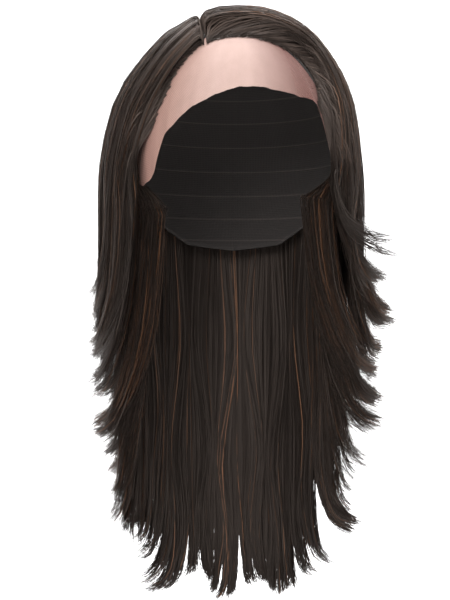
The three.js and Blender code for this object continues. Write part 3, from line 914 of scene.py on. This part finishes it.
# Pale paper of the studio, a little uneven
def paper_material():
    material, tree, shader = node_material("studio_paper")
    place = add_node(tree, "ShaderNodeTexCoord").outputs["Object"]
    colour = ramp(tree, noise(tree, place, 3.0, 3.0), [(0.3, (0.86, 0.86, 0.86)), (0.7, (0.9, 0.9, 0.9))])
    tree.links.new(colour, shader.inputs["Base Color"])
    set_inputs(shader, {"Roughness": 0.9})
    return material


# Grid of points as vertices and quads, closed round its rows or open
def grid(points, closed=False):
    rows, cols, _ = points.shape
    index = np.arange(rows * cols).reshape(rows, cols)
    across = np.concatenate([index, index[:, :1]], 1) if closed else index
    quads = np.stack([across[:-1, :-1], across[:-1, 1:], across[1:, 1:], across[1:, :-1]], -1).reshape(-1, 4)
    return points.reshape(-1, 3), quads


# Values of a table's column at azimuths, with its corners smoothed
def smooth_column(table, column, azimuth, spread):
    steps = np.linspace(-spread, spread, 9)
    return np.mean([np.interp(azimuth + step, table[:, 0], table[:, column]) for step in steps], 0)


# Lace sheet from the seam to its raw edge
def lace_piece():
    rng = np.random.default_rng(21)
    cols, rows = 300, 64
    azimuth = np.linspace(LACE_EDGE[0, 0], LACE_EDGE[-1, 0], cols)
    seam, edge, curl = (smooth_column(LACE_EDGE, i, azimuth, LACE_SMOOTHING) for i in (1, 2, 3))
    edge = edge + RAGGED * np.convolve(rng.normal(0, 1, cols + 8), np.ones(9) / 9, "valid")
    share = np.linspace(0, 1, rows)[:, None]
    polar = seam + (edge - seam) * share
    ripple = np.sin(azimuth * 0.55 + 1.3) * np.sin(azimuth * 0.21)
    depth = LACE_OFF_HEAD + (LACE_CURL * curl + LACE_LIFT + LACE_LIFT * ripple) * share**3
    points = head_point(np.broadcast_to(azimuth, polar.shape), polar, depth)
    vertices, quads = grid(points)
    side = np.broadcast_to(azimuth * LACE_SCALE[0], polar.shape).reshape(-1)
    down = np.broadcast_to(share * (edge - seam) * LACE_SCALE[1], polar.shape).reshape(-1)
    cloth = np.stack([side, down], -1)[quads]
    whole = np.stack(np.broadcast_arrays(np.linspace(0.01, 0.99, cols)[None], 0.01 + 0.98 * share), -1)
    maps = {"cloth": cloth, "OFBake": whole.reshape(-1, 2)[quads]}
    piece = quad_object("lace_sheet", vertices, quads, maps, lace_material())
    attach(piece, "root")
    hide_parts("lace_front")


# Cap as a closed wall from the crown to its rim
def cap_piece():
    cols, rows = 240, 60
    azimuth = np.linspace(-180, 180, cols, endpoint=False)
    seam = smooth_column(LACE_EDGE, 1, azimuth, CAP_SMOOTHING) - SEAM_DEGREES
    rim = smooth_column(CAP_RIM, 1, np.abs(azimuth), CAP_SMOOTHING)
    limit = np.where(np.abs(azimuth) < LACE_EDGE[-1, 0], seam, rim)
    share = np.linspace(CROWN_HOLE, 1, rows)[:, None]
    outer = head_point(np.broadcast_to(azimuth, (rows, cols)), limit * share, CAP_OUTSIDE)
    inner = head_point(np.broadcast_to(azimuth, (rows, cols)), limit * share, CAP_INSIDE)
    vertices, quads = grid(np.concatenate([outer, inner[::-1]]), closed=True)
    wrap = np.arange(2 * rows * cols).reshape(2 * rows, cols)
    ends = np.concatenate([wrap[[-1, 0]], wrap[[-1, 0], :1]], 1)
    crown = np.stack([ends[0, :-1], ends[0, 1:], ends[1, 1:], ends[1, :-1]], -1)
    quads = np.concatenate([quads, crown])
    both = np.concatenate([share, share[::-1]])
    side = np.broadcast_to(azimuth, (2 * rows, cols)) * CAP_SCALE[0]
    down = np.broadcast_to(both, (2 * rows, cols)) * np.broadcast_to(limit, (2 * rows, cols)) * CAP_SCALE[1]
    cloth = np.stack([side, down], -1).reshape(-1, 2)[quads]
    piece = quad_object("cap_dome", vertices, quads, {"cloth": cloth}, cap_material())
    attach(piece, "root")
    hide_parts("cap")


# Pale floor that curves up into a backdrop
def studio():
    half_width, bend_at, radius, height = 4.0, 2.3, 0.7, 3.5
    angles = np.linspace(0, math.pi / 2, 24)
    bend = [(bend_at + radius * math.sin(a), radius * (1 - math.cos(a))) for a in angles]
    profile = [(-half_width, 0.0), *bend, (bend_at + radius, height)]
    sides = (-half_width, half_width)
    points = np.array([[(x, y, z + FLOOR_LEVEL) for x in sides] for y, z in profile]) / MM
    vertices, quads = grid(points)
    floor = quad_object("studio_floor", vertices, quads, {}, paper_material())


def area_light(name, place, target, size, power):
    data = bpy.data.lights.new(name, "AREA")
    data.shape = "RECTANGLE"
    data.size, data.size_y = size
    data.energy = power
    lamp = bpy.data.objects.new(name, data)
    bpy.context.scene.collection.objects.link(lamp)
    lamp.location = place
    direction = np.array(target) - np.array(place)
    yaw = math.atan2(direction[1], direction[0])
    pitch = math.atan2(direction[2], math.hypot(direction[0], direction[1]))
    lamp.rotation_euler = (math.pi / 2 + pitch, 0, yaw - math.pi / 2)


def lights():
    middle = (0, 0, -0.18)
    area_light("key", (-0.35, -1.7, 0.55), middle, (0.9, 0.8), 36)
    area_light("fill", (1.3, -1.2, 0.0), middle, (1.0, 1.2), 6)
    area_light("top", (0.0, 0.25, 1.3), middle, (1.2, 1.6), 56)
    area_light("rim", (0.1, 1.1, 0.9), middle, (1.2, 0.8), 16)
    area_light("backdrop", (0.0, 1.6, 2.0), (0, 3.0, 0.2), (3.0, 0.6), 90)
    world = bpy.data.worlds.new("studio")
    bpy.context.scene.world = world
    world.use_nodes = True
    set_inputs(world.node_tree.nodes["Background"], {"Color": (1, 1, 1, 1), "Strength": 0.28})


# Camera in front of the face, level with the middle of the hair
def camera():
    data = bpy.data.cameras.new("camera")
    data.lens = 96
    data.sensor_width = 36
    eye = bpy.data.objects.new("camera", data)
    bpy.context.scene.collection.objects.link(eye)
    eye.location = CAMERA_AT
    eye.rotation_euler = (math.pi / 2, 0, 0)
    bpy.context.scene.camera = eye


camera()
hair = hair_material()
cap_piece()
lace_piece()
COUNT = STRANDS
hair_piece("hair_right", HairRow(
    TOP, RIGHT_LOCKS, top_controls, RIGHT, COUNT, seed=1, span=(0, 6.8), drift=(0, 1),
    warm=[(3, 0.2)], inner=0.15, hairline=COUNT // 14, climb=0.5, bare=1.2,
), hair)
hair_piece("hair_left", HairRow(
    TOP, LEFT_LOCKS, top_controls, LEFT, COUNT, seed=2, span=(0, 6.8), drift=(0, 1),
    warm=[(1.7, 0.4), (2.7, 0.3)], inner=0.15, hairline=COUNT // 2, climb=0.14, bare=1.8, clear=0.9,
), hair)
hair_piece("hair_back", HairRow(
    TOP, BACK_LOCKS, back_controls, LEFT, COUNT, seed=3, span=(0.1, 7.9), drift=(-0.4, 0.4),
    warm=[], inner=0.15, edge=False, sway=1, tight=0.85,
), hair)
hair_piece("weft_right", HairRow(
    WEFT, RIGHT_WEFTS, weft_controls, RIGHT, COUNT, seed=4, span=(0, 4.5), drift=(0, 1.3),
    warm=[(0.3, 0.28), (1.7, 0.35)], inner=0.4, sweep=1.2, tight=0.85, crowd=1.6,
), hair)
hair_piece("weft_left", HairRow(
    WEFT, LEFT_WEFTS, weft_controls, LEFT, COUNT, seed=5, span=(0, 5.5), drift=(0, 1.3),
    warm=[(0, 0.2), (0.25, 0.35), (1.3, 0.25)], inner=0.4, sweep=1.2, tight=0.85, crowd=1.6,
), hair)
# The back weft keeps to the 20 darkest tints as painted shade: its hair hangs behind and is seen through the
# face opening
hair_piece("weft_back", HairRow(
    WEFT, BACK_WEFTS, weft_controls, LEFT, COUNT, seed=6, span=(0.5, 7.4), drift=(-0.5, 0.5),
    warm=[], inner=0.5, edge=False, sway=1, tight=0.5, cool=20,
), hair)
studio()
lights()
bpy.context.scene.view_settings.view_transform = "Standard"
